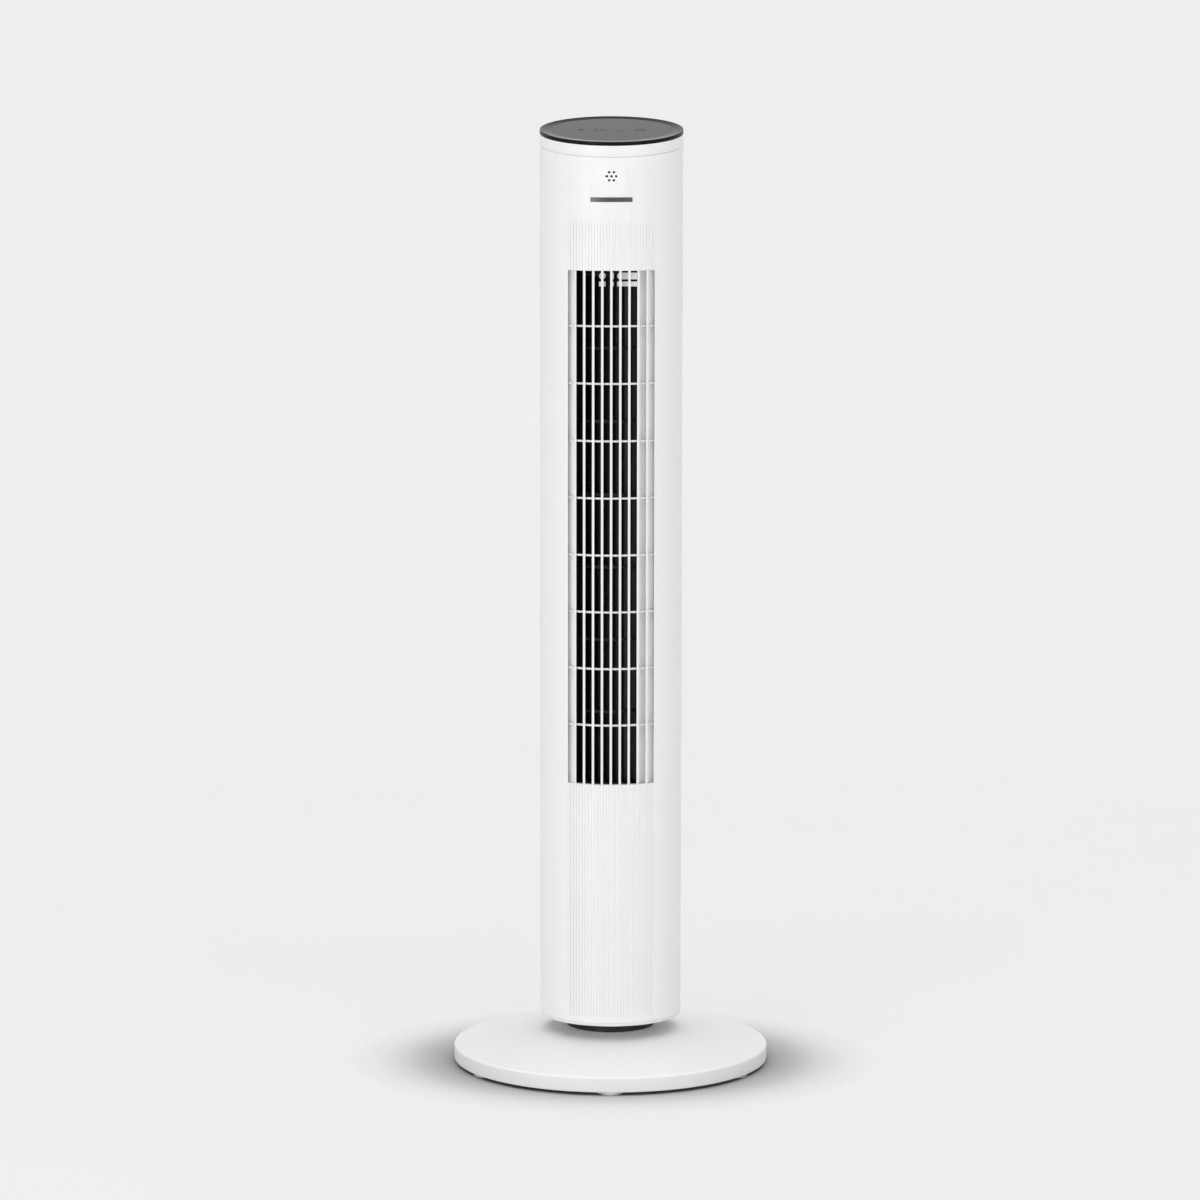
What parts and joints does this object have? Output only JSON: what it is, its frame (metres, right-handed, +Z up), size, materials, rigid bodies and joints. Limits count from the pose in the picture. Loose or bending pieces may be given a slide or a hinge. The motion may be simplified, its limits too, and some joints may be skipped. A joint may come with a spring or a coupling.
{
  "type": "tower fan",
  "caption": "Slim round tower fan with an upright-barred outlet, a sloping dark touch panel, a swinging tower on a shallow round base, and a cross-flow impeller inside.",
  "frame": {"origin": "on the floor under the middle of the round base, on the tower's swing axis", "axes": "+Z up along the swing axis; -Y is the front, the way the outlet blows at rest; +X is to the right as seen from the front"},
  "size_m": [0.308, 0.308, 0.9243],
  "materials": {
    "white_housing": "satin",
    "white_inner": "matte",
    "white_grille": "satin",
    "black_housing": "satin",
    "black_lens": "gloss",
    "black_impeller": "matte",
    "grey_badge": "satin",
    "black_rubber": "matte",
    "pale_rubber": "matte",
    "weight_steel": "matte",
    "bright_steel": "satin",
    "zinc_screws": "satin",
    "motor_can": "satin",
    "lamination_steel": "satin",
    "rotor_metal": "satin",
    "copper_wire": "satin",
    "bronze_bush": "satin",
    "acetal": "satin",
    "board_green": "satin",
    "component_black": "satin",
    "component_blue": "gloss",
    "component_tan": "matte",
    "foam_grey": "matte"
  },
  "bodies": {
    "base": {"base_cover": "white_housing", "base_plate": "black_housing", "base_weight": "weight_steel", "rubber_feet": "pale_rubber", "base_screws": "zinc_screws", "neck_collar": "black_housing", "pivot_tube": "bright_steel", "pivot_screws": "zinc_screws", "slide_ring": "black_housing", "fixed_gear": "acetal", "retaining_clip": "bright_steel", "cord_grommet": "black_rubber"},
    "impeller": {"impeller_wheel": "black_impeller", "impeller_hub": "black_rubber", "hub_screw": "zinc_screws", "motor_shaft": "bright_steel", "motor_rotor": "rotor_metal", "top_pin": "bright_steel"},
    "pinion": {"drive_pinion": "acetal", "pinion_shaft": "bright_steel"},
    "tower": {"tower_floor": "white_housing", "front_shell": "white_housing", "front_grille": "white_grille", "rear_shell": "white_housing", "rear_grille": "white_grille", "shell_screws": "zinc_screws", "scroll_wall": "white_inner", "tongue_wall": "white_inner", "duct_floor": "white_inner", "top_bracket": "white_inner", "duct_screws": "zinc_screws", "bearing_rubber": "black_rubber", "bearing_bush": "bronze_bush", "motor_bracket": "white_inner", "motor_mounts": "black_rubber", "motor_screws": "zinc_screws", "motor_case_upper": "motor_can", "motor_case_lower": "motor_can", "stator_core": "lamination_steel", "stator_windings": "copper_wire", "motor_bushes": "bronze_bush", "swing_motor": "motor_can", "swing_bracket": "bright_steel", "swing_screws": "zinc_screws", "board_frame": "white_inner", "main_board": "board_green", "transformer": "component_tan", "capacitors": "component_blue", "terminal_block": "component_black", "top_collar": "white_housing", "panel_tray": "black_housing", "touch_board": "board_green", "touch_pads": "foam_grey", "infrared_eye": "black_lens", "control_lens": "black_lens", "buzzer": "component_black", "buzzer_board": "board_green", "front_badge": "grey_badge"}
  },
  "joints": [
    {"name": "tower_swing", "type": "hinge", "parent": "base", "child": "tower", "pos_m": [0, 0, 0.055], "axis": [0, 0, 1], "range_deg": [-35, 35]},
    {"name": "impeller_spin", "type": "hinge", "parent": "tower", "child": "impeller", "pos_m": [-0.002, 0.008, 0.528], "axis": [0, 0, 1], "continuous": true},
    {"name": "pinion_spin", "type": "hinge", "parent": "tower", "child": "pinion", "pos_m": [0, 0.0376, 0.065], "axis": [0, 0, 1], "range_deg": [-141, 141]}
  ],
  "couplings": [
    {"joint": "pinion_spin", "follows": "tower_swing", "ratio": 4}
  ]
}
